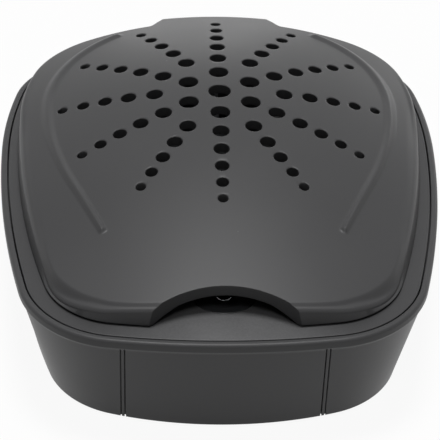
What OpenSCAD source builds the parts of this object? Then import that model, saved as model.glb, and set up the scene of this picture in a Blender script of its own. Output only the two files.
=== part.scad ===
// Electric dryer for hearing aids: a drafted tub with an overhanging rim, a deck with a drying well,
// and a domed vented lid hinged at the back. Millimetres, +Z up, +X right, +Y to the hinge.
// Origin: middle of the footprint, on the surface that the feet stand on.

/* [Overall] */
// Height of the lid's crown above the surface
total_h = 46.5; // [46:0.5:49]
// Height of the deck above the surface
deck_z = 29; // [28.5:0.1:29.5]
// How far the rubber feet stand out below the tub
foot_h = 1; // [0.6:0.1:1.4]
// Wall thickness of the tub
wall = 2.2; // [1.8:0.1:2.6]

/* [Rim outline] */
// Half width of the rim
rim_half_w = 53.2; // [53:0.1:54]
// Half length of the rim
rim_half_l = 63.3; // [63:0.1:64]
// Width that the seam between rim and deck has
seam_gap = 0.3; // [0.2:0.05:0.4]
// Width of the rim's flat top
rim_top_w = 1.6; // [1.4:0.1:2]

/* [Foot outline] */
// Half width of the tub at its foot
foot_half_w = 48.8; // [48:0.1:49.5]
// Front of the tub at its foot
foot_front = -58.5; // [-59:0.1:-58]
// Back of the tub at its foot
foot_back = 58; // [57.6:0.1:58.4]

/* [Lid] */
// Half width of the lid at the deck
lid_half_w = 49.2; // [48.8:0.1:49.4]
// Front edge of the lid at the deck
lid_front = -57.7; // [-58.2:0.1:-57.2]
// Back edge of the lid at the deck, beside its tongue
lid_back = 53.9; // [53.6:0.1:54]
// How far the tongue over the hinge stands out behind the back edge
tongue_l = 4.6; // [4.4:0.1:4.7]
// Shell thickness of the lid
lid_t = 2.5; // [2.2:0.1:2.7]
// Crown radius across the lid
dome_across = 121; // [115:1:130]
// Crown radius along the lid
dome_along = 152; // [145:1:160]
// Radius of the rounded edge between dome and skirt
lid_edge_r = 1.2; // [0.8:0.1:1.4]
// Height of the ridge round the vents
ridge_h = 0.65; // [0.4:0.05:0.9]
// How far the dome steps down to its lip at the sides
lip_step = 0.95; // [0.6:0.05:1.1]
// Gap between the closed lid and the deck
lid_gap = 0.4; // [0.3:0.05:0.5]

/* [Vent holes] */
// Distance of the vent holes' centre behind the origin
vent_y = 12; // [11:0.5:13]
// Diameter of the centre hole
vent_centre_d = 5.4; // [4:0.1:6]

/* [Thumb notch] */
// Radius of the notch in plan
notch_r = 28.1; // [26:0.1:30]
// Deepest point of the notch
notch_y = -51; // [-52:0.1:-50]

/* [Hinge] */
// Distance of the hinge pin behind the origin
hinge_y = 55.6; // [55.4:0.1:55.8]
// Height of the hinge pin
hinge_z = 34.1; // [34:0.1:34.3]
// Radius of the hinge pin
pin_r = 1; // [0.9:0.05:1.1]
// Half width of the hinge barrel on the lid
barrel_half_w = 14.5; // [14:0.1:15]
// Radius of the hinge barrel at its middle
barrel_r = 4.95; // [4.9:0.05:5.2]

/* [Start button] */
// Distance of the button behind the origin
button_y = -46; // [-46.5:0.1:-45.5]
// Radius of the button
button_r = 6.5; // [6:0.1:6.6]
// How far the button travels
button_travel = 0.5; // [0.3:0.1:0.6]

/* [Drying well] */
// Half width of the well
well_half_w = 36; // [34:0.5:37]
// Front edge of the well
well_front = -33; // [-33:0.5:-31]
// Back edge of the well
well_back = 47; // [45:0.5:47]
// Depth of the well
well_depth = 12; // [11:0.5:12]

/* [Fan] */
// Width of the fan frame
fan_w = 30; // [28:1:30]
// Number of fan blades
fan_blades = 7; // [5:1:9]

/* [Hidden] */
$fn = 48;

// Plan outlines: half width, widest y, front y, back y, then the radii of the side's front part,
// the front corner, the front, the side's back part, the back corner and the back, and last the steps
// of these arcs from the front on.
RIM = [rim_half_w, 13, -rim_half_l, rim_half_l, 250, 25, 180, 110, 20, 70, [5, 9, 7, 5, 9, 7]];
FOOT = [foot_half_w, 13, foot_front, foot_back, 175, 22, 87, 98, 26, 72, [5, 9, 7, 5, 9, 7]];
LID = [lid_half_w, 16.7, lid_front, lid_back, 216, 18.8, 180, 60, 21, 105, [5, 9, 7, 4, 8, 14]];
WELL = [well_half_w, 14, well_front, well_back, 160, 18, 120, 60, 24, 70, [5, 9, 7, 4, 9, 4]];

// Heights and offsets that follow from the driving sizes
floor_z = foot_h;
floor_t = 2;
floor_top = floor_z + floor_t;
deck_t = 2.5;
ledge_z = deck_z - deck_t;
lip_h = 2.4;
lip_z = deck_z - lip_h;
lip_out = 1;
edge_r = 0.6;
wall_top_z = lip_z - 0.6;
foot_edge = 0.6;
wall_foot_z = floor_z + foot_edge;
seam_in = rim_top_w + seam_gap;
well_wall = 1.8;
well_floor = deck_z - well_depth;
skirt_lean = 0.6;
skirt_z = deck_z + lid_gap;
trough_r = 5.75;
boss_xy = [[32.5, -38.5], [-32.5, -38.5], [36, 38], [-36, 38]];
board_xy = [[22, -45], [-22, -45]];
fan_z = floor_top + 1;
fan_t = 7;
fan_hole = fan_w / 2 - 3;
fan_xy = [for (x = [-1, 1], y = [-1, 1]) [x * fan_hole, vent_y + y * fan_hole]];
grille_r = 23;
grille_lip_z = well_floor - 0.8;
floor_under = well_floor - well_wall;
heater_z = floor_under - 2.8;
heater_t = 1.2;
board_t = 1.6;
board_z = 18.4;
board_top = board_z + board_t;
button_top = deck_z - 0.2;
switch_h = 3.2;
switch_x = 4.2;
plunger_r = 1.2;
plunger_stroke = 0.9;
jack_z = 9.5;
jack_r = 2.75;
jack_front = 55.9;
fit = 0.05;
eps = 0.01;

// Heading of a vector in degrees
function heading(v) = atan2(v[1], v[0]);
// Point at a distance and heading from a centre
function polar(c, r, a) = c + r * [cos(a), sin(a)];
// Arc from heading a to heading b, without its last point
function arc(c, r, a, b, n) = [for (i = [0:n - 1]) polar(c, r, a + (b - a) * i / n)];
// Where two circles meet; side is 1 or -1 and picks one of the two points
function meet(c1, r1, c2, r2, side) =
    let (d = c2 - c1, gap = norm(d), a = (r1 * r1 - r2 * r2 + gap * gap) / (2 * gap))
    c1 + a * d / gap + side * sqrt(r1 * r1 - a * a) * [-d[1], d[0]] / gap;

// Right half of a plan outline from its front to its back: six tangent arcs, drawn in by inset
function half_outline(s, inset) =
    let (side_f = [s[0] - s[4], s[1]], front = [0, s[2] + s[6]],
         side_b = [s[0] - s[7], s[1]], back = [0, s[3] - s[9]],
         corner_f = meet(side_f, s[4] - s[5], front, s[6] - s[5], -1),
         corner_b = meet(side_b, s[7] - s[8], back, s[9] - s[8], 1),
         a1 = heading(corner_f - front), a2 = heading(corner_f - side_f),
         a3 = heading(corner_b - side_b), a4 = heading(corner_b - back), steps = s[10])
    concat(
        arc(front, s[6] - inset, -90, a1, steps[0]),
        arc(corner_f, s[5] - inset, a1, a2, steps[1]),
        arc(side_f, s[4] - inset, a2, 0, steps[2]),
        arc(side_b, s[7] - inset, 0, a3, steps[3]),
        arc(corner_b, s[8] - inset, a3, a4, steps[4]),
        arc(back, s[9] - inset, a4, 90, steps[5]),
        [[0, s[3] - inset]]
    );
// Whole plan outline, counter-clockwise from the front
function outline(s, inset = 0) =
    let (half = half_outline(s, inset), n = len(half))
    concat(half, [for (i = [n - 2:-1:1]) [-half[i][0], half[i][1]]]);
// An outline lifted to a height
function ring(s, inset, z) = [for (p = outline(s, inset)) [p[0], p[1], z]];

// Closed skin over a stack of rings with equal numbers of points, lowest first. With a tip, the top
// ring closes on that point.
module skin(rings, tip = undef) {
    n = len(rings[0]);
    m = len(rings);
    top = (m - 1) * n;
    sides = [for (j = [0:m - 2], i = [0:n - 1])
        let (a = j * n + i, b = j * n + (i + 1) % n) each [[a, a + n, b + n], [a, b + n, b]]];
    cap = is_undef(tip) ? [[for (i = [n - 1:-1:0]) top + i]]
        : [for (i = [0:n - 1]) [top + i, m * n, top + (i + 1) % n]];
    points = concat([for (r = rings) each r], is_undef(tip) ? [] : [tip]);
    polyhedron(points, concat(sides, [[for (i = [0:n - 1]) i]], cap), convexity = 6);
}

// Rings over one plan outline at several heights: each section is a height and an inset
function rings_of(s, sections) = [for (k = sections) ring(s, k[1], k[0])];
module loft(s, sections) skin(rings_of(s, sections));

// Ring of the tub's wall, drawn in by depth. From the foot up it changes from the foot's outline to
// the rim's.
function wall_ring(z, depth) =
    let (low = outline(FOOT, depth), high = outline(RIM, lip_out + depth),
         share = min((z - wall_foot_z) / (wall_top_z - wall_foot_z), 1))
    [for (i = [0:len(low) - 1]) let (q = low[i] + share * (high[i] - low[i])) [q[0], q[1], z]];

module at_each(places, z = 0) {
    for (p = places) translate([p[0], p[1], z]) children();
}

// Slot with round ends along Y
module slot(w, l, h) {
    linear_extrude(h) {
        square([w, l - w], center = true);
        for (s = [-1, 1]) translate([0, s * (l - w) / 2]) circle(d = w, $fn = 24);
    }
}

// Solid of revolution about an X axis through the hinge pin, from a list of x and radius
module about_hinge(profile) {
    translate([0, hinge_y, hinge_z]) rotate([0, 90, 0]) rotate_extrude() polygon(profile);
}

module hinge_rod(r, half_w) {
    about_hinge([[0, -half_w], [r, -half_w], [r, half_w], [0, half_w]]);
}

module base_housing() {
    color("#26272b") difference() {
        skin(concat(
            [ring(FOOT, foot_edge, floor_z), wall_ring(wall_foot_z, 0), wall_ring(wall_top_z, 0)],
            rings_of(RIM, [
                [lip_z, 0.1], [lip_z + 0.4, 0], [deck_z - edge_r, 0],
                [deck_z - 0.3 * edge_r, 0.3 * edge_r], [deck_z, edge_r]
            ])
        ));
        skin([for (z = [floor_top, wall_top_z, ledge_z + eps]) wall_ring(z, wall)]);
        loft(RIM, [[ledge_z, rim_top_w], [deck_z + 1, rim_top_w]]);
        front_grooves();
        intake_slots();
        at_each(boss_xy) foot_and_screw_hole();
        at_each(fan_xy, floor_z + 0.8) cylinder(r = 0.85, h = 4, $fn = 24);
        jack_hole();
    }
    color("#26272b") {
        at_each(boss_xy, floor_top - eps) difference() {
            cylinder(r = 4.2, h = 5 + eps);
            translate([0, 0, -1]) cylinder(r = 3, h = 2.5 + eps);
            cylinder(r = 1.6, h = 6);
        }
        fan_posts();
        jack_cradle();
    }
}

// Two moulded channels down the front wall, following its lean
module front_grooves() {
    groove_x = 24;
    top_y = -rim_half_l + lip_out + groove_x * groove_x / (2 * RIM[6]);
    low_y = foot_front + groove_x * groove_x / (2 * FOOT[6]);
    lean = atan((low_y - top_y) / (wall_top_z - wall_foot_z));
    for (s = [-1, 1]) translate([s * groove_x, top_y + 0.6, wall_top_z]) rotate([lean, 0, 0])
        translate([-0.55, -3, -30]) cube([1.1, 3, 30.5]);
}

// Air inlet under the fan
module intake_slots() {
    for (i = [-3:3]) translate([i * 3.6, vent_y, 0]) slot(1.8, sqrt(576 - 36 * i * i), floor_top + 1);
}

module foot_and_screw_hole() {
    translate([0, 0, -1]) cylinder(r = 5.1, h = floor_z + 1.5);
    translate([0, 0, floor_z]) cylinder(r = 3, h = 3.5);
    cylinder(r = 1.6, h = 10);
}

// Round access hole for the plug and a flat seat round it
module jack_hole() {
    translate([0, 50, jack_z]) rotate([-90, 0, 0]) cylinder(r = 4.2, h = 20);
    translate([0, 58.8, jack_z]) rotate([-90, 0, 0]) cylinder(r = 5.2, h = 10);
}

// Ribs that hold the power jack from both sides
module jack_cradle() {
    for (s = [-1, 1]) translate([s * 5.35 - 0.8, 47, floor_top - eps]) cube([1.6, 9, 7]);
}

module fan_posts() {
    at_each(fan_xy, floor_top - eps) difference() {
        cylinder(r = 2.4, h = fan_z - floor_top + eps);
        translate([0, 0, -1]) cylinder(r = 0.85, h = 4, $fn = 24);
    }
}

// Room for the swing of the barrel and the lid's tongue
module hinge_trough() {
    hinge_rod(trough_r, barrel_half_w + 0.6);
}

module top_deck() {
    color("#2c2d31") {
        difference() {
            union() {
                loft(RIM, [[ledge_z, seam_in], [deck_z, seam_in]]);
                loft(WELL, [[floor_under, -well_wall + 1.2], [deck_z - 0.5, -well_wall]]);
                translate([0, button_y, ledge_z - 3]) cylinder(r = 8.6, h = 3.5);
            }
            loft(WELL, [[well_floor, 1.2], [deck_z - 0.8, 0], [deck_z + 0.1, -0.9]]);
            translate([0, vent_y, floor_under - 1]) cylinder(r = grille_r - 1.5, h = 5);
            translate([0, vent_y, grille_lip_z]) cylinder(r = grille_r + 0.15, h = 3);
            translate([0, button_y, 0]) cylinder(r = button_r + 0.3, h = deck_z + 1);
            translate([0, button_y, 0]) cylinder(r = 7.5, h = ledge_z - 0.6);
            hinge_trough();
        }
        deck_bosses();
        hinge_lug();
    }
}

module deck_bosses() {
    at_each(boss_xy, floor_top + 5) difference() {
        cylinder(r = 3.6, h = ledge_z - floor_top - 5 + eps);
        translate([0, 0, -1]) cylinder(r = 1.25, h = 11);
    }
    at_each(board_xy, board_top) difference() {
        cylinder(r = 2.6, h = ledge_z - board_top + eps);
        translate([0, 0, -1]) cylinder(r = 0.85, h = 5);
    }
    for (s = [-1, 1]) translate([s * 20.5, vent_y + 19, heater_z + heater_t]) difference() {
        cylinder(r = 2.2, h = floor_under - heater_z - heater_t + 0.5);
        translate([0, 0, -1]) cylinder(r = 0.85, h = 3.2);
    }
}

// Knuckle between the lid's two, on a neck that rises from the deck
module hinge_lug() {
    difference() {
        union() {
            hinge_rod(3.6, 7.2);
            translate([-7.2, hinge_y - 2.9, ledge_z]) cube([14.4, 3.4, hinge_z - ledge_z]);
        }
        hinge_rod(pin_r, 20);
    }
}

module hinge_pin() {
    color("#b9bbc0") hinge_rod(pin_r, 13.6);
}

// How far the lid's outside lies below its crown, without ridge and edge. The crown is round along
// and across; the front runs out flatter than the back, and the corners are held up.
function dome_drop(x, y) = x * x / (2 * dome_across) + y * y / (2 * dome_along)
    + pow(y / 46, 3) - pow(x * y / 2469, 2) - pow(x / 58.8, 4) - pow(y / 86.1, 4);

function smooth(u) = let (v = min(max(u, 0), 1)) v * v * (3 - 2 * v);

// Crest of the ridge in plan, on the right: two arcs that touch where the second starts forward, and a
// straight line on from where the second has turned by ridge_turn
ridge_join = [41.9, 3.7];
ridge_back_r = 37.5;
ridge_side_r = 80;
ridge_turn = 23.5;
// Directions of the ridge's blunt ends, seen from the vents' centre, 0 at the back
ridge_first = 35;
ridge_last = 148.3;
ridge_w = 1.8;
join_t = atan2(ridge_join[0], ridge_join[1]);
line_at = ridge_join - ridge_side_r * [1 - cos(ridge_turn), sin(ridge_turn)];
line_n = [cos(ridge_turn), -sin(ridge_turn)];
line_t = atan2(line_at[0], line_at[1]);

// Distance from the vents' centre to a circle, or to the ridge's crest, in direction d
function ray_to_circle(d, c, r) = d * c + sqrt(pow(d * c, 2) - c * c + r * r);
function ridge_at(d, t) = let (e = [abs(d[0]), d[1]])
    t > line_t ? (line_at * line_n) / (e * line_n)
    : ray_to_circle(e, ridge_join - [1, 0] * (t < join_t ? ridge_back_r : ridge_side_r),
        t < join_t ? ridge_back_r : ridge_side_r);
// Ridge at a distance q outside its crest: one rounded bead, cut off at both ends
function ridge_rise(t, q) = let (u = min(abs(q) / ridge_w, 1))
    ridge_h * smooth((t - ridge_first) / 1.6 + 0.5) * smooth(ridge_last - 0.5 * q - t + 0.5)
    * (q > 0 ? pow(1 - u, 2) * (1 + 1.1 * u) : 1 - smooth(u));

// How far the dome has stepped down to its lip at a distance s from the edge: at the sides and most at
// the front corners, but not at the back
function edge_fall(t, s) =
    let (corner = exp(-pow((t - 147) / 9, 2)), front = smooth((t - 150) / 8),
         depth = lip_step * smooth((t - 82) / 22) + 0.35 * corner - 0.5 * front,
         middle = 1.8 - 0.45 * smooth((t - 138) / 8) + 1.4 * exp(-pow((t - 153.8) / 4.6, 2)),
         width = 2.4 - front)
    depth * (1 - smooth((s - middle) / width + 0.5));

// One ray of the lid's outside from its edge to its crown, as points in the lid's own height
function lid_ray(p) =
    let (v = p - [0, vent_y], far = norm(v), d = v / far, t = atan2(abs(d[0]), d[1]),
         crest = min(ridge_at(d, t), far - 7.5),
         outer = [0, 0.1, 0.45, 1.2, 1.8, 2.4, 3, 3.8],
         span = far - crest - ridge_w - 3.8,
         between = [for (f = [0.33, 0.67]) 3.8 + span * f],
         ridge = [for (i = [-3:3]) far - crest + i * ridge_w / 3],
         inside = [for (f = [0.8, 0.6, 0.4, 0.2]) far - f * crest])
    [for (s = concat(outer, between, ridge, inside))
        let (g = d * (far - s), e = max(lid_edge_r - s, 0))
        [g[0], g[1] + vent_y, total_h - dome_drop(g[0], g[1]) + ridge_rise(t, far - s - crest)
            - edge_fall(t, s) - lid_edge_r + sqrt(lid_edge_r * lid_edge_r - e * e)]];

// Outline of the lid's outside with the tongue over the hinge
tongue_half_w = 13.4;
tongue_flank = 3.6;
function lid_outline(inset) = [for (p = outline(LID, inset))
    p[1] < 0 ? p : p + [0, tongue_l * (1 - smooth((abs(p[0]) - tongue_half_w) / tongue_flank))]];

// Rings of the lid's outside, from the skirt's foot to the innermost ring
function lid_rings() =
    let (rays = [for (p = lid_outline(skirt_lean)) lid_ray(p)])
    concat([[for (p = lid_outline(0)) [p[0], p[1], skirt_z]]],
        [for (k = [0:len(rays[0]) - 1]) [for (r = rays) r[k]]]);

// Rings of the lid's inside: the dome moved down by the shell's thickness
function lid_cavity_rings() =
    let (inset = skirt_lean + 2.1, edge = outline(LID, inset))
    concat([ring(LID, inset - 0.5, skirt_z - 1)],
        [for (f = [1, 0.92, 0.78, 0.62, 0.44, 0.22]) [for (p = edge)
            let (x = p[0] * f, y = (p[1] - vent_y) * f)
            [x, y + vent_y, total_h - lid_t - dome_drop(x, y) - (f == 1 ? 1 : 0)]]]);

// Vent rings: radius, hole diameter, number of holes
VENTS = [[8.6, 4.7, 6], [15.7, 4, 12], [22, 3.7, 12], [27.7, 3.3, 12], [33, 2.9, 12], [38, 2.4, 12]];

module vent_holes() {
    translate([0, vent_y, 30]) {
        cylinder(d = vent_centre_d, h = 20, $fn = 32);
        for (v = VENTS, i = [0:v[2] - 1]) rotate([0, 0, 90 + i * 360 / v[2]]) translate([v[0], 0, 0])
            cylinder(d = v[1], h = 20, $fn = 32);
    }
}

// Barrel at the lid's back: slightly crowned, with rounded ends
module lid_barrel() {
    round_r = 1.6;
    flat = barrel_half_w - round_r;
    crown = [for (i = [-6:6]) let (x = i * flat / 6) [barrel_r - x * x / 280, x]];
    end_r = barrel_r - flat * flat / 280;
    low = [for (a = [90, 60, 30]) [end_r - round_r + round_r * cos(a), -flat - round_r * sin(a)]];
    high = [for (a = [30, 60, 90]) [end_r - round_r + round_r * cos(a), flat + round_r * sin(a)]];
    about_hinge(concat([[0, -barrel_half_w]], low, crown, high, [[0, barrel_half_w]]));
}

// Room in the barrel for the deck's knuckle, open to the front, below and behind
module knuckle_room() {
    translate([-7.6, hinge_y, hinge_z]) rotate([90, 0, 90]) linear_extrude(15.2) {
        circle(r = 4);
        translate([-12, -12]) square([24, 12]);
        rotate(20) translate([0, -12]) square(12);
    }
}

module lid() {
    color("#232428") difference() {
        union() {
            difference() {
                skin(lid_rings(), [0, vent_y, total_h]);
                skin(lid_cavity_rings(), [0, vent_y, total_h - lid_t]);
            }
            lid_barrel();
        }
        vent_holes();
        translate([0, notch_y - notch_r, deck_z]) cylinder(r = notch_r, h = 30, $fn = 96);
        translate([-30, -70, deck_z - 10]) cube([60, 140, 10 + lid_gap]);
        knuckle_room();
        hinge_rod(pin_r + fit, barrel_half_w + 0.1);
    }
}

// Round cap with a dished face, a retaining flange and two feet that press the plungers
module start_button() {
    color("#2c2d31") translate([0, button_y, 0]) difference() {
        union() {
            translate([0, 0, ledge_z - 2.4]) cylinder(r = button_r, h = button_top - ledge_z + 2.4);
            translate([0, 0, ledge_z - 2.4]) cylinder(r = 7.2, h = 1.5);
        }
        translate([0, 0, button_top + 29.4]) sphere(r = 30, $fn = 96);
        cylinder(r = 1.7, h = 40);
        translate([0, 0, ledge_z - 3]) cylinder(r = 2.9, h = 2.4);
    }
}

// Light pipe in the button's middle
module button_lens() {
    color("#c8cdd2") translate([0, button_y, 0]) {
        translate([0, 0, board_top + 1.7]) cylinder(r = 1.3, h = ledge_z - board_top - 2);
        translate([0, 0, ledge_z - 1.8]) cylinder(r = 2.6, h = 1.2);
        translate([0, 0, ledge_z - 1]) cylinder(r = 1.7, h = button_top - ledge_z + 0.5);
    }
}

module switch_plungers() {
    color("#3a3b40") for (s = [-1, 1])
        translate([s * switch_x, button_y, board_top + switch_h - plunger_stroke])
            cylinder(r = plunger_r, h = ledge_z - 2.4 - board_top - switch_h + plunger_stroke);
}

module tact_switches() {
    color("#1d1d20") for (s = [-1, 1]) translate([s * switch_x, button_y, board_top]) difference() {
        translate([-2.25, -2.25, 0]) cube([4.5, 4.5, switch_h]);
        translate([0, 0, switch_h - plunger_stroke - button_travel - 0.2])
            cylinder(r = plunger_r + fit, h = 4);
    }
}

module status_led() {
    color("#e6e9ec") translate([0, button_y, board_top]) {
        translate([-0.8, -1.6, 0]) cube([1.6, 3.2, 0.6]);
        translate([0, 0, 0.5]) cylinder(r = 0.7, h = 0.6, $fn = 24);
    }
}

module control_board() {
    color("#1f5a3c") difference() {
        translate([-27, -55, board_z]) cube([54, 18.6, board_t]);
        at_each(board_xy, board_z - 1) cylinder(r = 1.1, h = 4, $fn = 24);
    }
}

module board_screws() {
    color("#9a9ca0") at_each(board_xy, board_z) screw(2, 1.3, 0.85, 4.6);
}

// Pan-head screw pointing up: the head lies below z 0
module screw(head_r, head_h, shank_r, length) {
    translate([0, 0, -head_h]) difference() {
        cylinder(r = head_r, h = head_h);
        translate([0, 0, -eps]) for (a = [0, 90]) rotate([0, 0, a])
            translate([-head_r * 0.6, -head_r * 0.12, 0]) cube([head_r * 1.2, head_r * 0.24, head_h * 0.5]);
    }
    cylinder(r = shank_r, h = length);
}

// Barrel jack: moulded body, bore for the plug and a centre pin
module power_jack() {
    color("#1b1b1d") difference() {
        translate([-4.5, jack_front - 11, floor_top + 2]) cube([9, 11, 9]);
        translate([0, jack_front - 9.5, jack_z]) rotate([-90, 0, 0]) cylinder(r = jack_r, h = 12);
    }
    color("#c9b37a") translate([0, jack_front - 10.2, jack_z]) rotate([-90, 0, 0])
        cylinder(r = 1, h = 8.7, $fn = 24);
}

module air_grille() {
    color("#34353a") translate([0, vent_y, 0]) difference() {
        union() {
            translate([0, 0, grille_lip_z]) cylinder(r = grille_r, h = 0.8);
            translate([0, 0, floor_under]) cylinder(r = grille_r - 1.7, h = 1.8);
        }
        for (k = [0:3], i = [0:max(1, 6 * k) - 1]) rotate([0, 0, i * 60 / max(k, 1)])
            translate([k * 5.4, 0, 0]) cylinder(r = 1.6, h = 30, $fn = 24);
    }
}

module heater_plate() {
    color("#b4b6b9") translate([0, vent_y, heater_z]) difference() {
        translate([-24, -22, 0]) cube([48, 44, heater_t]);
        for (x = [-2:2]) translate([x * 5.4, 0, -1]) slot(3, 30, 4);
        for (s = [-1, 1]) translate([s * 20.5, 19, -1]) cylinder(r = 1.1, h = 4, $fn = 24);
    }
}

module heater_elements() {
    color("#6d6a66") for (s = [-1, 1]) translate([s * 19.5 - 2.5, vent_y - 13, heater_z - 2.2])
        cube([5, 26, 2.2]);
}

module heater_screws() {
    color("#9a9ca0") for (s = [-1, 1]) translate([s * 20.5, vent_y + 19, heater_z])
        screw(1.9, 1.2, 0.85, 3.2);
}

module thermal_cutout() {
    color("#8f8a80") translate([-4, vent_y + 16.2, heater_z - 2]) cube([8, 5, 2]);
}

// Square frame, four mounting holes, round duct, and a bearing boss on three struts
module fan_frame() {
    color("#202124") translate([0, vent_y, fan_z]) difference() {
        union() {
            difference() {
                translate([-fan_w / 2, -fan_w / 2, 0]) cube([fan_w, fan_w, fan_t]);
                translate([0, 0, -1]) cylinder(r = fan_w / 2 - 1, h = fan_t + 2, $fn = 96);
            }
            for (a = [30, 150, 270]) rotate([0, 0, a]) translate([3, -0.9, 0]) cube([11.3, 1.8, 1.2]);
            cylinder(r = 6.5, h = 1.2);
            cylinder(r = 2.2, h = 3.4);
        }
        translate([0, 0, 0.4]) cylinder(r = 0.8, h = 5, $fn = 24);
        translate([0, -vent_y, 0]) at_each(fan_xy, -1) cylinder(r = 1.2, h = fan_t + 2, $fn = 24);
    }
}

// Hub cup on a shaft, with pitched blades
module fan_rotor() {
    color("#2b2c30") translate([0, vent_y, fan_z]) {
        difference() {
            translate([0, 0, 1.6]) cylinder(r = 7.2, h = 4.9);
            translate([0, 0, 1]) cylinder(r = 6.2, h = 4.5);
        }
        translate([0, 0, 0.6]) cylinder(r = 0.75, h = 5.2, $fn = 24);
        intersection() {
            for (i = [0:fan_blades - 1]) rotate([0, 0, i * 360 / fan_blades])
                translate([10, 0, 4.1]) rotate([42, 0, 0]) cube([8, 6.6, 0.8], center = true);
            translate([0, 0, 1.7]) difference() {
                cylinder(r = 13.4, h = 4.8, $fn = 96);
                translate([0, 0, -1]) cylinder(r = 6.7, h = 7);
            }
        }
    }
}

module fan_screws() {
    color("#9a9ca0") at_each(fan_xy, fan_z + fan_t) rotate([180, 0, 0]) screw(1.9, 1.2, 0.85, fan_t + 1.8);
}

// Lift-out tray with a perforated floor and a rib that keeps the two aids apart
module drying_tray() {
    color("#3b3c41") difference() {
        loft(WELL, [[well_floor, 2], [deck_z - 1.4, 0.75]]);
        difference() {
            loft(WELL, [[well_floor + 1.2, 3.2], [deck_z, 1.95]]);
            translate([-0.7, -60, 0]) cube([1.4, 120, deck_z - 4]);
        }
        translate([0, vent_y, 0]) for (k = [1:3], i = [0:6 * k - 1])
            rotate([0, 0, i * 60 / k + 30 / k]) translate([k * 5.4, 0, 0])
                cylinder(r = 1.5, h = well_floor + 3, $fn = 24);
    }
}

module case_screws() {
    color("#9a9ca0") at_each(boss_xy, floor_z + 3.5) screw(2.8, 1.9, 1.25, 13);
}

module rubber_feet() {
    color("#151517") at_each(boss_xy) cylinder(r = 5, h = foot_h + 0.5);
}

base_housing();
top_deck();
lid();
hinge_pin();
start_button();
button_lens();
switch_plungers();
tact_switches();
status_led();
control_board();
board_screws();
power_jack();
air_grille();
heater_plate();
heater_elements();
heater_screws();
thermal_cutout();
fan_frame();
fan_rotor();
fan_screws();
drying_tray();
case_screws();
rubber_feet();
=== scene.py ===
"""Visual model of an electric dryer for hearing aids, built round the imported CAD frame."""

from collections import namedtuple
from math import acos, atan2, cos, degrees, exp, hypot, pi, radians, sin, sqrt

import bmesh
import bpy
from mathutils import Matrix, Vector


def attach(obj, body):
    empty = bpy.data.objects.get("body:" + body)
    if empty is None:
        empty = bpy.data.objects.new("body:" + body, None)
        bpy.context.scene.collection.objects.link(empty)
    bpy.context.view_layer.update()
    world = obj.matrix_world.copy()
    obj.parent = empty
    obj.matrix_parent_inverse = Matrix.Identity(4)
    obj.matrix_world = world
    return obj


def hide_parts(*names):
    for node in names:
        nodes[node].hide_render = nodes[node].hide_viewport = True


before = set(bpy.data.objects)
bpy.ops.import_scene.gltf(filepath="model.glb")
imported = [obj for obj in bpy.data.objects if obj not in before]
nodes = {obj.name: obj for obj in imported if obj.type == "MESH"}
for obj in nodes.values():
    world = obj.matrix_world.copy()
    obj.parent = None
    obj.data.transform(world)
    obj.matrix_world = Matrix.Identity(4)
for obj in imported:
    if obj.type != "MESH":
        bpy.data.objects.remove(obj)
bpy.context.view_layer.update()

MM = 0.001
MERGE_M = 2e-7

# Main sizes in millimetres. They are the solids', apart from the rim's lip, the grooves, the lid's edge
# and the button, which were measured again in the photograph afterwards.
TOTAL_H = 46.5
DECK_Z = 29.0
FLOOR_Z = 1.0
FLOOR_TOP = 3.0
LEDGE_Z = 26.5
WALL = 2.2
RIM_TOP_W = 1.6
SEAM_IN = 1.9
WALL_TOP_Z = 26.0
LIP_OUT = 0.7
FOOT_Z = 1.7
GROOVE_X = 23.1
GROOVE_SPACING = 0.92
GROOVE_W = 0.3
GROOVE_DEPTH = 0.9
LID_FOOT_Z = 29.4
LID_T = 2.5
SKIRT_LEAN = 0.6
LID_EDGE_R = 0.75
VENT_Y = 12.0
NOTCH_R = 28.1
NOTCH_Y = -51.0
HINGE = (55.6, 34.1)
BARREL_R = 4.95
TROUGH_R = 5.75
BARREL_HALF_W = 14.5
KNUCKLE_R = 3.6
KNUCKLE_HALF_W = 7.2
BUTTON_Y = -44.2
BUTTON_R = 7.5
BUTTON_TOP = 28.8
BOWL_R = 5.2
WELL_FLOOR = 17.0
FLOOR_UNDER = 15.2
JACK_Z = 9.5

# Plan outlines: six tangent arcs a side, with the radii of the side, the corner and the end in front
# of the widest place and behind it
Plan = namedtuple("Plan", "half_w wide_y front_y back_y "
                          "r_side_f r_corner_f r_front r_side_b r_corner_b r_back")
RIM = Plan(53.2, 13, -63.3, 63.3, 250, 25, 180, 110, 20, 70)
LID = Plan(49.2, 16.7, -57.7, 53.9, 216, 18.8, 180, 60, 21, 105)
WELL = Plan(36, 14, -33, 47, 160, 18, 120, 60, 24, 70)
FOOT = Plan(48.8, 13, -58.5, 58.0, 175, 22, 87, 98, 26, 72)
ARC_STEPS = (30, 60, 54, 22, 30, 60)

# Places of the screw bosses and feet, and of the fan's screws
BOSSES = ((32.5, -38.5), (-32.5, -38.5), (36, 38), (-36, 38))
FAN_HOLES = [(x, VENT_Y + y) for x in (-12, 12) for y in (-12, 12)]


# Plan outlines

def heading(a, b):
    """Direction from one point to another."""
    return atan2(b[1] - a[1], b[0] - a[0])


def meet(c1, r1, c2, r2, side):
    """Where two circles meet; side picks one of the two points."""
    dx, dy = c2[0] - c1[0], c2[1] - c1[1]
    gap = hypot(dx, dy)
    a = (r1 * r1 - r2 * r2 + gap * gap) / (2 * gap)
    h = side * sqrt(r1 * r1 - a * a)
    return c1[0] + (a * dx - h * dy) / gap, c1[1] + (a * dy + h * dx) / gap


def arc(centre, radius, start, stop, steps):
    turn = (stop - start) / steps
    return [(centre[0] + radius * cos(start + turn * i), centre[1] + radius * sin(start + turn * i))
            for i in range(steps)]


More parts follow.
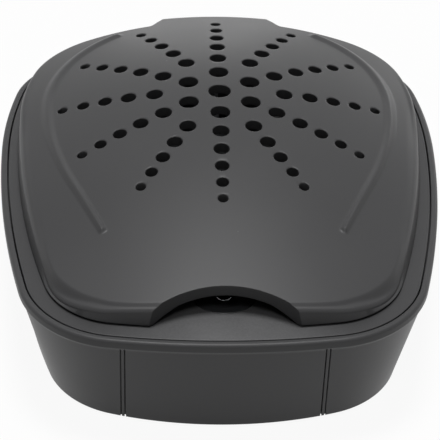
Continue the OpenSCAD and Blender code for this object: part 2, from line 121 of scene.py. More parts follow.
def outline(plan, inset=0.0):
    """Points of a plan outline, counter-clockwise from the middle of the front, drawn in by inset."""
    side_f, side_b = (plan.half_w - plan.r_side_f, plan.wide_y), (plan.half_w - plan.r_side_b, plan.wide_y)
    front, back = (0, plan.front_y + plan.r_front), (0, plan.back_y - plan.r_back)
    corner_f = meet(side_f, plan.r_side_f - plan.r_corner_f, front, plan.r_front - plan.r_corner_f, -1)
    corner_b = meet(side_b, plan.r_side_b - plan.r_corner_b, back, plan.r_back - plan.r_corner_b, 1)
    a1, a2 = heading(front, corner_f), heading(side_f, corner_f)
    a3, a4 = heading(side_b, corner_b), heading(back, corner_b)
    arcs = ((front, plan.r_front, -pi / 2, a1), (corner_f, plan.r_corner_f, a1, a2),
            (side_f, plan.r_side_f, a2, 0), (side_b, plan.r_side_b, 0, a3),
            (corner_b, plan.r_corner_b, a3, a4), (back, plan.r_back, a4, pi / 2))
    half = []
    for (centre, radius, start, stop), steps in zip(arcs, ARC_STEPS):
        half += arc(centre, radius - inset, start, stop, steps)
    half.append((0, plan.back_y - inset))
    return half + [(-x, y) for x, y in half[-2:0:-1]]


def level(plan, inset, z):
    """A plan outline lifted to a height."""
    return [(x, y, z) for x, y in outline(plan, inset)]


def blend_rings(ring_a, ring_b, share):
    """Ring that lies a share of the way from one ring to another."""
    return [tuple(a + (b - a) * share for a, b in zip(p, q)) for p, q in zip(ring_a, ring_b)]


def pole(x, y, z):
    """A ring shrunk to one point."""
    return [(x, y, z)] * (2 * sum(ARC_STEPS))


def fillet(plan, inset, z, radius, start, stop, steps):
    """Levels round part of a tube: its middle lies at inset and z, start and stop are in degrees, with 0
    pointing outwards and 90 up. A negative radius gives a hollow."""
    angles = [radians(start + (stop - start) * i / steps) for i in range(steps + 1)]
    return [level(plan, inset - radius * cos(a), z + radius * sin(a)) for a in angles]


def clamped(u):
    return min(max(u, 0.0), 1.0)


def smooth(u):
    """Eases from 0 to 1 while u goes from 0 to 1."""
    u = clamped(u)
    return u * u * (3 - 2 * u)


def hump(u):
    """Bell curve that is 1 at u = 0."""
    return exp(-u ** 2)


# Mesh building

def skin(rows):
    """A grid of faces laid round closed rows of points in millimetres, with seam and poles merged."""
    bm = bmesh.new()
    across = len(rows[0])
    bmesh.ops.create_grid(bm, x_segments=across, y_segments=len(rows) - 1, size=0.5)
    bm.verts.ensure_lookup_table()
    for k, vert in enumerate(bm.verts):
        row, col = divmod(k, across + 1)
        vert.co = Vector(rows[row][col % across]) * MM
    bmesh.ops.remove_doubles(bm, verts=bm.verts, dist=MERGE_M)
    bmesh.ops.recalc_face_normals(bm, faces=bm.faces)
    return bm


def turned(profile, segments):
    """Solid of revolution about Z, spun from a profile of radius and height in millimetres."""
    bm = bmesh.new()
    points = [bm.verts.new((r * MM, 0, z * MM)) for r, z in profile]
    line = [bm.edges.new(pair) for pair in zip(points, points[1:])]
    bmesh.ops.spin(bm, geom=points + line, cent=(0, 0, 0), axis=(0, 0, 1), angle=2 * pi,
                   steps=segments, use_merge=True)
    bmesh.ops.remove_doubles(bm, verts=bm.verts, dist=MERGE_M)
    bmesh.ops.recalc_face_normals(bm, faces=bm.faces)
    return bm


def tube(inner, outer, height, segments):
    """Round post with a bore, from z 0 up."""
    return turned([(inner, 0), (outer, 0), (outer, height), (inner, height), (inner, 0)], segments)


def block(low, high):
    """Box between two corners."""
    bm = bmesh.new()
    bmesh.ops.create_cube(bm, size=1)
    size = [(b - a) * MM for a, b in zip(low, high)]
    middle = [(a + b) / 2 * MM for a, b in zip(low, high)]
    bmesh.ops.transform(bm, matrix=Matrix.Translation(middle) @ Matrix.Diagonal((*size, 1)), verts=bm.verts)
    return bm


def rod(radius, length, segments):
    """Cylinder from z 0 up."""
    bm = bmesh.new()
    bmesh.ops.create_cone(bm, cap_ends=True, segments=segments, radius1=radius * MM, radius2=radius * MM,
                          depth=length * MM)
    bmesh.ops.translate(bm, vec=(0, 0, length * MM / 2), verts=bm.verts)
    return bm


def prism(points, height):
    """A flat outline pushed up from z 0."""
    bm = bmesh.new()
    face = bm.faces.new([bm.verts.new((x * MM, y * MM, 0)) for x, y in points])
    grown = bmesh.ops.extrude_face_region(bm, geom=[face])["geom"]
    top = [g for g in grown if isinstance(g, bmesh.types.BMVert)]
    bmesh.ops.translate(bm, vec=(0, 0, height * MM), verts=top)
    bmesh.ops.recalc_face_normals(bm, faces=bm.faces)
    return bm


def placed(bm, x=0.0, y=0.0, z=0.0, turn=None):
    """Turns a mesh by (degrees, axis) and moves it by millimetres."""
    matrix = Matrix.Translation((x * MM, y * MM, z * MM))
    if turn:
        matrix = matrix @ Matrix.Rotation(radians(turn[0]), 4, turn[1])
    bmesh.ops.transform(bm, matrix=matrix, verts=bm.verts)
    return bm


def gathered(meshes):
    """Several meshes as one."""
    whole = bmesh.new()
    for bm in meshes:
        part = bpy.data.meshes.new("part")
        bm.to_mesh(part)
        bm.free()
        whole.from_mesh(part)
        bpy.data.meshes.remove(part)
    return whole


def as_object(name, bm):
    """Ends the mesh building: the mesh becomes an object of the scene."""
    mesh = bpy.data.meshes.new(name)
    bm.to_mesh(mesh)
    bm.free()
    piece = bpy.data.objects.new(name, mesh)
    bpy.context.scene.collection.objects.link(piece)
    return piece


def joined(name, body, steps):
    """Body mesh with boolean steps applied in turn: each step is an operation and the other mesh."""
    piece = as_object(name, body)
    helpers = []
    for operation, bm in steps:
        helper = as_object(name + "_helper", bm)
        helper.hide_render = True
        cut = piece.modifiers.new(operation.lower(), "BOOLEAN")
        cut.operation, cut.object, cut.solver = operation, helper, "EXACT"
        helpers.append(helper)
    done = bpy.data.meshes.new_from_object(piece.evaluated_get(bpy.context.evaluated_depsgraph_get()))
    piece.modifiers.clear()
    old, piece.data = piece.data, done
    bpy.data.meshes.remove(old)
    done.name = name
    for helper in helpers:
        mesh = helper.data
        bpy.data.objects.remove(helper)
        bpy.data.meshes.remove(mesh)
    return piece


def finished(piece, body, material, node, sharp=32):
    """Shades a piece smooth up to its sharp edges and ties it to its body, material and node."""
    bm = bmesh.new()
    bm.from_mesh(piece.data)
    bmesh.ops.dissolve_degenerate(bm, dist=1e-7, edges=bm.edges)
    for face in bm.faces:
        face.smooth = True
    for edge in bm.edges:
        edge.smooth = len(edge.link_faces) == 2 and edge.calc_face_angle(0) < radians(sharp)
    bm.to_mesh(piece.data)
    bm.free()
    weigh = piece.modifiers.new("flat_faces_first", "WEIGHTED_NORMAL")
    weigh.keep_sharp = True
    piece.data.materials.clear()
    piece.data.materials.append(material)
    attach(piece, body)
    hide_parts(node)


# Materials

# On black plastic: a speck of dust's grey and how far apart the specks lie, the width of the slow drift
# of tone, and how far from its middle a patch of painted light starts and ends to fade
DUST = "#8c8c8a"
DUST_GAP_MM = 9.0
DRIFT_MM = 28
PAINTED_LIGHT_FADE_MM = (8, 34)


def linear(colour):
    """An sRGB hex colour as linear numbers."""
    values = [int(colour[i:i + 2], 16) / 255 for i in (1, 3, 5)]
    return [v / 12.92 if v <= 0.04045 else ((v + 0.055) / 1.055) ** 2.4 for v in values] + [1.0]


def per_mm(size):
    """Scale of a texture whose features are so many millimetres wide."""
    return 1000 / size


def add(tree, kind, settings=None, **sockets):
    """Adds a node: settings are its own properties, sockets are values or other nodes' outputs. A socket
    goes by its name, or by i and its number where several have the same name."""
    node = tree.nodes.new(kind)
    for name, value in (settings or {}).items():
        setattr(node, name, value)
    for name, value in sockets.items():
        key = int(name[1:]) if name[0] == "i" and name[1:].isdigit() else name.replace("_", " ")
        socket = node.inputs[key]
        if isinstance(value, bpy.types.NodeSocket):
            tree.links.new(value, socket)
        else:
            socket.default_value = value
    return node


def started(name):
    """A new material with an empty tree, and the object's own coordinates to hang its patterns on."""
    material = bpy.data.materials.new(name)
    material.use_nodes = True
    tree = material.node_tree
    tree.nodes.clear()
    place = add(tree, "ShaderNodeTexCoord").outputs["Object"]
    return material, tree, place


def moulded_plastic(name, dark, light, roughness, grain_mm=0.32, depth_mm=0.006, ior=1.5, lint=0.0,
                    edge_mm=0.0, shine=0.5, painted_light_at=None):
    """Plastic moulded in a spark-eroded tool: a fine even grain, a slow drift of tone where the melt
    cooled, and with lint a speck of dust here and there. A real grain is about 0.1 mm: it is drawn
    coarser, so that it doesn't flicker. With edge_mm the edges are broken by that much in the shading, as
    a mould leaves them. Where a place and colour are given for it, a pool of painted light round that
    place makes the colour lighter, fading outwards and patchy with the drift of tone."""
    material, tree, place = started(name)
    grain = add(tree, "ShaderNodeTexNoise", Vector=place, Scale=per_mm(grain_mm), Detail=2.0, Roughness=0.6)
    drift = add(tree, "ShaderNodeTexNoise", Vector=place, Scale=per_mm(DRIFT_MM), Detail=3.0, Roughness=0.5)
    fine = add(tree, "ShaderNodeMath", {"operation": "MULTIPLY"}, i0=grain.outputs["Fac"], i1=0.35)
    tone = add(tree, "ShaderNodeMath", {"operation": "MULTIPLY_ADD"},
               i0=drift.outputs["Fac"], i1=0.65, i2=fine.outputs[0])
    colour = add(tree, "ShaderNodeMix", {"data_type": "RGBA"},
                 i0=tone.outputs[0], i6=linear(dark), i7=linear(light)).outputs[2]
    if lint:
        specks = add(tree, "ShaderNodeTexVoronoi", Vector=place, Scale=per_mm(DUST_GAP_MM))
        near = add(tree, "ShaderNodeMapRange", Value=specks.outputs["Distance"],
                   From_Min=0.0, From_Max=0.03, To_Min=lint, To_Max=0.0)
        colour = add(tree, "ShaderNodeMix", {"data_type": "RGBA"},
                     i0=near.outputs[0], i6=colour, i7=linear(DUST)).outputs[2]
    # Painted light: a lighter pool of colour round the given place stands in for light falling on the
    # surface there
    if painted_light_at:
        x, y, painted_light_colour = painted_light_at
        first, last = PAINTED_LIGHT_FADE_MM
        away = add(tree, "ShaderNodeVectorMath", {"operation": "DISTANCE"}, i0=place,
                   i1=(x * MM, y * MM, LEDGE_Z * MM))
        painted_light_share = add(tree, "ShaderNodeMapRange", {"interpolation_type": "SMOOTHSTEP"},
                   Value=away.outputs["Value"], From_Min=first * MM, From_Max=last * MM,
                   To_Min=1.0, To_Max=0.0)
        painted_light_patchy = add(tree, "ShaderNodeMath", {"operation": "MULTIPLY"},
                     i0=painted_light_share.outputs[0], i1=tone.outputs[0])
        colour = add(tree, "ShaderNodeMix", {"data_type": "RGBA"},
                     i0=painted_light_patchy.outputs[0], i6=colour, i7=linear(painted_light_colour)).outputs[2]
    rough = add(tree, "ShaderNodeMapRange", Value=drift.outputs["Fac"], From_Min=0.3, From_Max=0.7,
                To_Min=roughness - 0.03, To_Max=roughness + 0.03)
    bump = add(tree, "ShaderNodeBump", Height=grain.outputs["Fac"], Strength=1.0, Distance=depth_mm * MM)
    if edge_mm:
        soft = add(tree, "ShaderNodeBevel", {"samples": 6}, Radius=edge_mm * MM)
        tree.links.new(soft.outputs[0], bump.inputs["Normal"])
    shader = add(tree, "ShaderNodeBsdfPrincipled", Base_Color=colour, Roughness=rough.outputs[0],
                 IOR=ior, Specular_IOR_Level=shine, Normal=bump.outputs[0])
    add(tree, "ShaderNodeOutputMaterial", Surface=shader.outputs[0])
    return material


def worked_metal(name, dark, light, roughness, line_mm, stretch, depth_mm=0.002):
    """Bare metal with the fine lines that its tool or roll left: they run along the axis with the least
    stretch, and they scatter the light across themselves."""
    material, tree, place = started(name)
    drawn = add(tree, "ShaderNodeMapping", Vector=place, Scale=stretch)
    lines = add(tree, "ShaderNodeTexNoise", Vector=drawn.outputs[0], Scale=per_mm(line_mm), Detail=3.0)
    cloud = add(tree, "ShaderNodeTexNoise", Vector=place, Scale=per_mm(6.0), Detail=2.0)
    colour = add(tree, "ShaderNodeMix", {"data_type": "RGBA"},
                 i0=lines.outputs["Fac"], i6=linear(dark), i7=linear(light))
    rough = add(tree, "ShaderNodeMapRange", Value=cloud.outputs["Fac"], From_Min=0.3, From_Max=0.7,
                To_Min=roughness - 0.05, To_Max=roughness + 0.05)
    bump = add(tree, "ShaderNodeBump", Height=lines.outputs["Fac"], Strength=1.0, Distance=depth_mm * MM)
    shader = add(tree, "ShaderNodeBsdfPrincipled", Base_Color=colour.outputs[2], Metallic=1.0,
                 Roughness=rough.outputs[0], Normal=bump.outputs[0])
    add(tree, "ShaderNodeOutputMaterial", Surface=shader.outputs[0])
    return material


def fired_ceramic():
    """Pressed and fired steatite: chalky off-white with a faint grain and small grey flecks."""
    material, tree, place = started("steatite_ceramic_fired")
    grain = add(tree, "ShaderNodeTexNoise", Vector=place, Scale=per_mm(0.4), Detail=3.0)
    flecks = add(tree, "ShaderNodeTexVoronoi", Vector=place, Scale=per_mm(1.1))
    near = add(tree, "ShaderNodeMapRange", Value=flecks.outputs["Distance"],
               From_Min=0.05, From_Max=0.14, To_Min=0.5, To_Max=0.0)
    body = add(tree, "ShaderNodeMix", {"data_type": "RGBA"},
               i0=grain.outputs["Fac"], i6=linear("#aba69b"), i7=linear("#c6c1b6"))
    colour = add(tree, "ShaderNodeMix", {"data_type": "RGBA"},
                 i0=near.outputs[0], i6=body.outputs[2], i7=linear("#7e7a72"))
    bump = add(tree, "ShaderNodeBump", Height=grain.outputs["Fac"], Strength=1.0, Distance=0.01 * MM)
    shader = add(tree, "ShaderNodeBsdfPrincipled", Base_Color=colour.outputs[2], Roughness=0.62, IOR=1.55,
                 Normal=bump.outputs[0])
    add(tree, "ShaderNodeOutputMaterial", Surface=shader.outputs[0])
    return material


def circuit_board():
    """Glass-epoxy board under green solder mask: the copper tracks stand a little proud and show
    lighter, and the weave of the glass shows faintly between them."""
    material, tree, place = started("fr4_green_solder_mask")
    tracks = add(tree, "ShaderNodeTexBrick", {"offset": 0.5, "squash": 0.7, "squash_frequency": 3},
                 Vector=place, Scale=per_mm(1), Mortar_Size=0.28, Mortar_Smooth=0.1,
                 Brick_Width=5.2, Row_Height=1.3)
    weave = add(tree, "ShaderNodeTexWave", {"wave_type": "BANDS", "bands_direction": "DIAGONAL"},
                Vector=place, Scale=per_mm(1.2), Distortion=0.6)
    mask = add(tree, "ShaderNodeMix", {"data_type": "RGBA"},
               i0=weave.outputs["Fac"], i6=linear("#14452b"), i7=linear("#194f32"))
    colour = add(tree, "ShaderNodeMix", {"data_type": "RGBA"},
                 i0=tracks.outputs["Fac"], i6=mask.outputs[2], i7=linear("#2c7a4c"))
    bump = add(tree, "ShaderNodeBump", Height=tracks.outputs["Fac"], Strength=1.0, Distance=0.035 * MM)
    shader = add(tree, "ShaderNodeBsdfPrincipled", Base_Color=colour.outputs[2], Roughness=0.24, IOR=1.55,
                 Normal=bump.outputs[0])
    add(tree, "ShaderNodeOutputMaterial", Surface=shader.outputs[0])
    return material


def foot_rubber():
    """Moulded rubber: nearly black and dull, with a bloom that lightens it unevenly."""
    material, tree, place = started("rubber_moulded_black")
    bloom = add(tree, "ShaderNodeTexNoise", Vector=place, Scale=per_mm(3.0), Detail=4.0, Roughness=0.6)
    grain = add(tree, "ShaderNodeTexNoise", Vector=place, Scale=per_mm(0.25), Detail=2.0)
    colour = add(tree, "ShaderNodeMix", {"data_type": "RGBA"},
                 i0=bloom.outputs["Fac"], i6=linear("#1a1a1b"), i7=linear("#2a2a2b"))
    rough = add(tree, "ShaderNodeMapRange", Value=bloom.outputs["Fac"], From_Min=0.3, From_Max=0.7,
                To_Min=0.82, To_Max=0.7)
    bump = add(tree, "ShaderNodeBump", Height=grain.outputs["Fac"], Strength=1.0, Distance=0.012 * MM)
    shader = add(tree, "ShaderNodeBsdfPrincipled", Base_Color=colour.outputs[2], Roughness=rough.outputs[0],
                 IOR=1.52, Normal=bump.outputs[0])
    add(tree, "ShaderNodeOutputMaterial", Surface=shader.outputs[0])
    return material


def light_pipe():
    """Clear moulded polycarbonate with a satin face: it takes light from the lamp below and shows the
    dark well round it, with faint flow clouds inside."""
    material, tree, place = started("polycarbonate_clear")
    cloud = add(tree, "ShaderNodeTexNoise", Vector=place, Scale=per_mm(1.5), Detail=3.0)
    colour = add(tree, "ShaderNodeMix", {"data_type": "RGBA"},
                 i0=cloud.outputs["Fac"], i6=linear("#dfe4e8"), i7=linear("#f4f6f7"))
    rough = add(tree, "ShaderNodeMapRange", Value=cloud.outputs["Fac"], From_Min=0.3, From_Max=0.7,
                To_Min=0.12, To_Max=0.2)
    shader = add(tree, "ShaderNodeBsdfPrincipled", Base_Color=colour.outputs[2], Roughness=rough.outputs[0],
                 IOR=1.586, Transmission_Weight=1.0)
    add(tree, "ShaderNodeOutputMaterial", Surface=shader.outputs[0])
    return material


def two_parts(name, axis_point, across, radius_mm, inner, outer, inner_metallic, roughness, ior):
    """A small part with a round core of another material. The core's axis goes through axis_point, in
    millimetres; across is 1 for the directions across it and 0 for its own. Both parts carry a faint
    moulded grain."""
    material, tree, place = started(name)
    off = add(tree, "ShaderNodeVectorMath", {"operation": "SUBTRACT"},
              i0=place, i1=[v * MM for v in axis_point])
    flat = add(tree, "ShaderNodeVectorMath", {"operation": "MULTIPLY"}, i0=off.outputs[0], i1=across)
    reach = add(tree, "ShaderNodeVectorMath", {"operation": "LENGTH"}, i0=flat.outputs[0])
    core = add(tree, "ShaderNodeMath", {"operation": "LESS_THAN"},
               i0=reach.outputs["Value"], i1=radius_mm * MM)
    grain = add(tree, "ShaderNodeTexNoise", Vector=place, Scale=per_mm(0.5), Detail=2.0)
    shell = add(tree, "ShaderNodeMix", {"data_type": "RGBA"},
                i0=grain.outputs["Fac"], i6=linear(outer[0]), i7=linear(outer[1]))
    centre = add(tree, "ShaderNodeMix", {"data_type": "RGBA"},
                 i0=grain.outputs["Fac"], i6=linear(inner[0]), i7=linear(inner[1]))
    colour = add(tree, "ShaderNodeMix", {"data_type": "RGBA"},
                 i0=core.outputs[0], i6=shell.outputs[2], i7=centre.outputs[2])
    metal = add(tree, "ShaderNodeMath", {"operation": "MULTIPLY"}, i0=core.outputs[0], i1=inner_metallic)
    bump = add(tree, "ShaderNodeBump", Height=grain.outputs["Fac"], Strength=1.0, Distance=0.004 * MM)
    shader = add(tree, "ShaderNodeBsdfPrincipled", Base_Color=colour.outputs[2], Metallic=metal.outputs[0],
                 Roughness=roughness, IOR=ior, Normal=bump.outputs[0])
    add(tree, "ShaderNodeOutputMaterial", Surface=shader.outputs[0])
    return material


# Black and grey ABS, moulded against spark-eroded steel: a satin face that mirrors the room only as a
# soft haze. SATIN is under the usual 0.5, because the grain scatters part of the gloss.
SATIN = 0.21
lid_abs = moulded_plastic("abs_black_satin_lid", "#3b3b3c", "#414142", 0.4, lint=0.25, edge_mm=0.35,
                          shine=SATIN)
housing_abs = moulded_plastic("abs_black_satin_housing", "#3a3a3b", "#404041", 0.4, edge_mm=0.3,
                              shine=SATIN)
# The deck carries a pool of painted light round the button, standing in for the front light that brightens
# the deck there
deck_abs = moulded_plastic("abs_black_matt_deck", "#363637", "#3e3e3f", 0.44, grain_mm=0.45, depth_mm=0.012,
                           shine=SATIN, painted_light_at=(0, -52, "#707071"))
button_abs = moulded_plastic("abs_black_fine_button", "#303133", "#363739", 0.36, depth_mm=0.002, shine=0.3)
tray_abs = moulded_plastic("abs_charcoal_tray", "#1f2022", "#27282a", 0.5)

# Materials of the solids that stay as they are packed
kept_materials = {
    worked_metal("steel_zinc_plated_screws", "#9c9fa3", "#bfc2c5", 0.3, 0.15, (1, 1, 0.1)):
        ("board_screws", "heater_screws", "fan_screws", "case_screws"),
    worked_metal("steel_stainless_ground_pin", "#a9abad", "#c4c6c8", 0.24, 0.12, (1, 0.1, 0.1)):
        ("hinge_pin",),
    worked_metal("aluminium_sheet_mill_finish", "#b3b5b7", "#cfd0d2", 0.36, 0.2, (1, 0.04, 1), 0.004):
        ("heater_plate",),
    fired_ceramic(): ("heater_elements", "thermal_cutout"),
    circuit_board(): ("control_board",),
    two_parts("nylon_jack_with_nickel_pin", (0, 0, JACK_Z), (1, 0, 1), 1.1, ("#b9b6ae", "#cbc8c0"),
              ("#191a1b", "#222325"), 1.0, 0.34, 1.53): ("power_jack",),
    two_parts("epoxy_led_with_phosphor", (0, BUTTON_Y, 0), (1, 1, 0), 0.72, ("#d9c36a", "#e6d488"),
              ("#d8d8d4", "#e6e6e2"), 0.0, 0.3, 1.5): ("status_led",),
    moulded_plastic("nylon_black_switches", "#17181a", "#202124", 0.42, ior=1.53):
        ("tact_switches", "switch_plungers"),
    moulded_plastic("pbt_glass_filled_fan", "#1b1c1e", "#2a2b2e", 0.4, grain_mm=0.6, depth_mm=0.015,
                    ior=1.57): ("fan_frame", "fan_rotor"),
    moulded_plastic("polypropylene_grey_grille", "#2e2f33", "#3a3b40", 0.48, ior=1.49): ("air_grille",),
}
for material, names in kept_materials.items():
    for name in names:
        slots = nodes[name].data.materials
        for index in range(len(slots)):
            slots[index] = material


# Tub

def wall_level(z, depth=0.0):
    """Section of the leaning wall: it runs from the foot's outline into the rim's."""
    share = (z - FOOT_Z) / (WALL_TOP_Z - FOOT_Z)
    return blend_rings(level(FOOT, depth, z), level(RIM, LIP_OUT + depth, z), share)


def tub():
    """Outside from the floor's middle up to the rim, then down inside to the floor again."""
    rows = [pole(0, VENT_Y, FLOOR_Z), level(FOOT, 6, FLOOR_Z)]
    rows += fillet(FOOT, 0.7, FLOOR_Z + 0.7, 0.7, -90, -8, 6)
    rows += [wall_level(z) for z in (3, 6, 9, 12, 16, 20, 23, 24.8, 25.6)]
    rows += [level(RIM, LIP_OUT - 0.06 * k, WALL_TOP_Z + 0.1 * k) for k in range(3)]
    rows += fillet(RIM, 0.75, 27.1, 0.75, -78, 0, 7)
    rows += fillet(RIM, 0.8, DECK_Z - 0.8, 0.8, 0, 90, 8)
    rows += fillet(RIM, RIM_TOP_W - 0.15, DECK_Z - 0.15, 0.15, 90, 180, 3)
    rows += [level(RIM, RIM_TOP_W, LEDGE_Z), level(RIM, LIP_OUT + WALL, LEDGE_Z)]
    rows += [wall_level(z, WALL) for z in (WALL_TOP_Z, 15, FLOOR_TOP + 1)]
    rows += [level(FOOT, WALL + 0.6, FLOOR_TOP), pole(0, VENT_Y, FLOOR_TOP)]
    return skin(rows)


def slot_points(width, length):
    """Outline of a slot with round ends, along Y."""
    straight, radius = (length - width) / 2, width / 2
    ends = [(straight, 0), (-straight, pi)]
    return [(radius * cos(a0 + pi * i / 12), y + radius * sin(a0 + pi * i / 12))
            for y, a0 in ends for i in range(13)]


def front_grooves():
    """Two fine grooves side by side at each place, cut square to the leaning front wall."""
    top_y = RIM.front_y + LIP_OUT + GROOVE_X ** 2 / (2 * RIM.r_front)
    low_y = FOOT.front_y + GROOVE_X ** 2 / (2 * FOOT.r_front)
    lean = degrees(atan2(low_y - top_y, WALL_TOP_Z - FOOT_Z))
    cuts = []
    for x in (-GROOVE_X, GROOVE_X):
        for middle in (-GROOVE_SPACING / 2, GROOVE_SPACING / 2):
            groove = block((middle - GROOVE_W / 2, -3, -30), (middle + GROOVE_W / 2, 0, 0.5))
            cuts.append(placed(groove, x, top_y + GROOVE_DEPTH, WALL_TOP_Z, (lean, "X")))
    return cuts


def air_slots():
    """Seven slots through the floor, whose ends lie on a circle under the fan."""
    pitch, width, reach = 3.6, 1.8, 24
    return [placed(prism(slot_points(width, sqrt(reach ** 2 - (6 * i) ** 2)), 6), i * pitch, VENT_Y, -1)
            for i in range(-3, 4)]


def housing():
    foot_pockets = [placed(rod(5.1, FLOOR_Z + 1.5, 64), x, y, -1) for x, y in BOSSES]
    jack_hole = placed(rod(4.2, 20, 64), 0, 50, JACK_Z, (-90, "X"))
    plug_seat = placed(rod(5.2, 10, 64), 0, 58.8, JACK_Z, (-90, "X"))
    posts = [placed(tube(1.6, 4.2, 5.2, 48), x, y, FLOOR_TOP - 0.2) for x, y in BOSSES]
    posts += [placed(tube(0.85, 2.4, 1.2, 32), x, y, FLOOR_TOP - 0.2) for x, y in FAN_HOLES]
    jack_ribs = [block((x - 0.8, 47, FLOOR_TOP - 0.1), (x + 0.8, 56, FLOOR_TOP + 7)) for x in (-5.35, 5.35)]
    piece = joined("housing_shell", tub(), [
        ("DIFFERENCE", plug_seat),
        ("DIFFERENCE", gathered(front_grooves() + air_slots() + foot_pockets + [jack_hole])),
        ("UNION", gathered(posts + jack_ribs))])
    finished(piece, "base", housing_abs, "base_housing")


# Deck

def deck_rows():
    """From the middle of the well's underside out to the seam, over the plate and down into the well."""
    well_edge = level(WELL, -1.0, DECK_Z)
    plate_edge = level(RIM, SEAM_IN + 0.2, DECK_Z)
    rows = [pole(0, VENT_Y, FLOOR_UNDER), level(WELL, 1.0, FLOOR_UNDER)]
    rows += [level(WELL, -0.6, FLOOR_UNDER + 0.4), level(WELL, -1.7, LEDGE_Z), level(RIM, SEAM_IN, LEDGE_Z)]
    rows += fillet(RIM, SEAM_IN + 0.2, DECK_Z - 0.2, 0.2, 0, 90, 4)
    rows += [blend_rings(plate_edge, well_edge, share) for share in (0.08, 0.3, 0.5, 0.7, 0.92)]
    rows += [level(WELL, 0.05 - 1.05 * sin(radians(a)), DECK_Z - 1.05 + 1.05 * cos(radians(a)))
             for a in (90, 75, 60, 45, 30, 15, 0)]
    rows += [level(WELL, 0.35, 24), level(WELL, 0.75, 20)]
    rows += fillet(WELL, 2.4, WELL_FLOOR + 1.4, -1.4, 0, 90, 5)
    return rows + [pole(0, VENT_Y, WELL_FLOOR)]


def deck():
    trough_half_w = BARREL_HALF_W + 0.6
    trough = placed(rod(TROUGH_R, 2 * trough_half_w, 96), -trough_half_w, *HINGE, (90, "Y"))
    air_hole = placed(rod(21.5, 5, 96), 0, VENT_Y, FLOOR_UNDER - 1)
    grille_seat = placed(rod(23.15, 3, 96), 0, VENT_Y, WELL_FLOOR - 0.8)
    button_hole = placed(rod(BUTTON_R + 0.4, 12, 192), 0, BUTTON_Y, 20)
    collar = placed(rod(BUTTON_R + 2.1, 3.5, 96), 0, BUTTON_Y, LEDGE_Z - 3)
    under_button = placed(rod(BUTTON_R + 1, 6, 96), 0, BUTTON_Y, LEDGE_Z - 6.6)
    case_posts = [placed(tube(1.25, 3.6, 18.7, 48), x, y, 8) for x, y in BOSSES]
    board_posts = [placed(tube(0.85, 2.6, 6.7, 32), x, -45, 20) for x in (-22, 22)]
    heater_posts = [placed(tube(0.85, 2.2, 2.1, 32), x, VENT_Y + 19, 13.6) for x in (-20.5, 20.5)]
    knuckle = placed(rod(KNUCKLE_R, 2 * KNUCKLE_HALF_W, 96), -KNUCKLE_HALF_W, *HINGE, (90, "Y"))
    neck = block((-KNUCKLE_HALF_W, HINGE[0] - 2.9, LEDGE_Z), (KNUCKLE_HALF_W, HINGE[0] + 0.5, HINGE[1]))
    bore = placed(rod(1.0, 40, 32), -20, *HINGE, (90, "Y"))
    piece = joined("deck_plate", skin(deck_rows()), [
        ("UNION", collar), ("DIFFERENCE", gathered([air_hole, grille_seat, button_hole, trough])),
        ("DIFFERENCE", under_button),
        ("UNION", gathered(case_posts + board_posts + heater_posts)),
        ("UNION", knuckle), ("UNION", neck), ("DIFFERENCE", bore)])
    finished(piece, "base", deck_abs, "top_deck")


# Lid

# The dome's fall from its crown is a sum of powers of x and y over these lengths in millimetres
DOME_X2, DOME_Y2 = 242, 304
DOME_Y3 = 46
DOME_XY = 2469
DOME_X4, DOME_Y4 = 58.8, 86.1


def dome_drop(x, y):
    """How far the outside lies below its crown; y counts from the vents' centre."""
    return (x * x / DOME_X2 + y * y / DOME_Y2 + (y / DOME_Y3) ** 3 - (x * y / DOME_XY) ** 2
            - (x / DOME_X4) ** 4 - (y / DOME_Y4) ** 4)


def dome_slope(x, y):
    """How steeply the dome falls along x and y."""
    return (2 * x / DOME_X2 - 4 * x ** 3 / DOME_X4 ** 4 - 2 * x * y * y / DOME_XY ** 2,
            2 * y / DOME_Y2 + 3 * y * y / DOME_Y3 ** 3 - 4 * y ** 3 / DOME_Y4 ** 4
            - 2 * x * x * y / DOME_XY ** 2)


# Ridge in plan, seen from the vents' centre: an arc round the back, a wider one down the side that
# starts at RIDGE_JOIN, then straight on from RIDGE_STRAIGHT degrees of the second arc's turn. Along the
# lid, t is the angle at the vents' centre, from 0 at the back to 180 at the front; the ridge runs
# between the two RIDGE_ENDS.
RIDGE_JOIN = (41.9, 3.7)
RIDGE_BACK_R = 37.5
RIDGE_SIDE_R = 80.0
RIDGE_STRAIGHT = 23.5
RIDGE_ENDS = (35.0, 148.3)
RIDGE_H = 0.65
RIDGE_HALF_W = 1.8
RIDGE_REACH = 2


def ridge_at(dx, dy, t):
    """Distance of the ridge's crest from the vents' centre in direction dx, dy."""
    dx = abs(dx)
    join_x, join_y = RIDGE_JOIN
    turn = radians(RIDGE_STRAIGHT)
    straight = (join_x - RIDGE_SIDE_R * (1 - cos(turn)), join_y - RIDGE_SIDE_R * sin(turn))
    if t > degrees(atan2(straight[0], straight[1])):
        normal = (cos(turn), -sin(turn))
        return (straight[0] * normal[0] + straight[1] * normal[1]) / (dx * normal[0] + dy * normal[1])
    radius = RIDGE_BACK_R if t < degrees(atan2(join_x, join_y)) else RIDGE_SIDE_R
    cx, cy = join_x - radius, join_y
    along = dx * cx + dy * cy
    return along + sqrt(along * along - cx * cx - cy * cy + radius * radius)


def ridge_rise(t, q):
    """Height of the ridge at a distance q outside its crest: a rounded bead, steeper on the outside
    where it runs forward, cut off at both blunt ends."""
    first, last = RIDGE_ENDS
    forward = smooth((t - 95) / 20)
    width = RIDGE_HALF_W - (0.7 * forward if q > 0 else 0)
    across = 1 - smooth(min(abs(q) / width, 1))
    height = RIDGE_H + 0.15 * forward
    return height * across * smooth((t - first) / 1.6 + 0.5) * smooth((last - 0.5 * q - t) / 0.9 + 0.5)


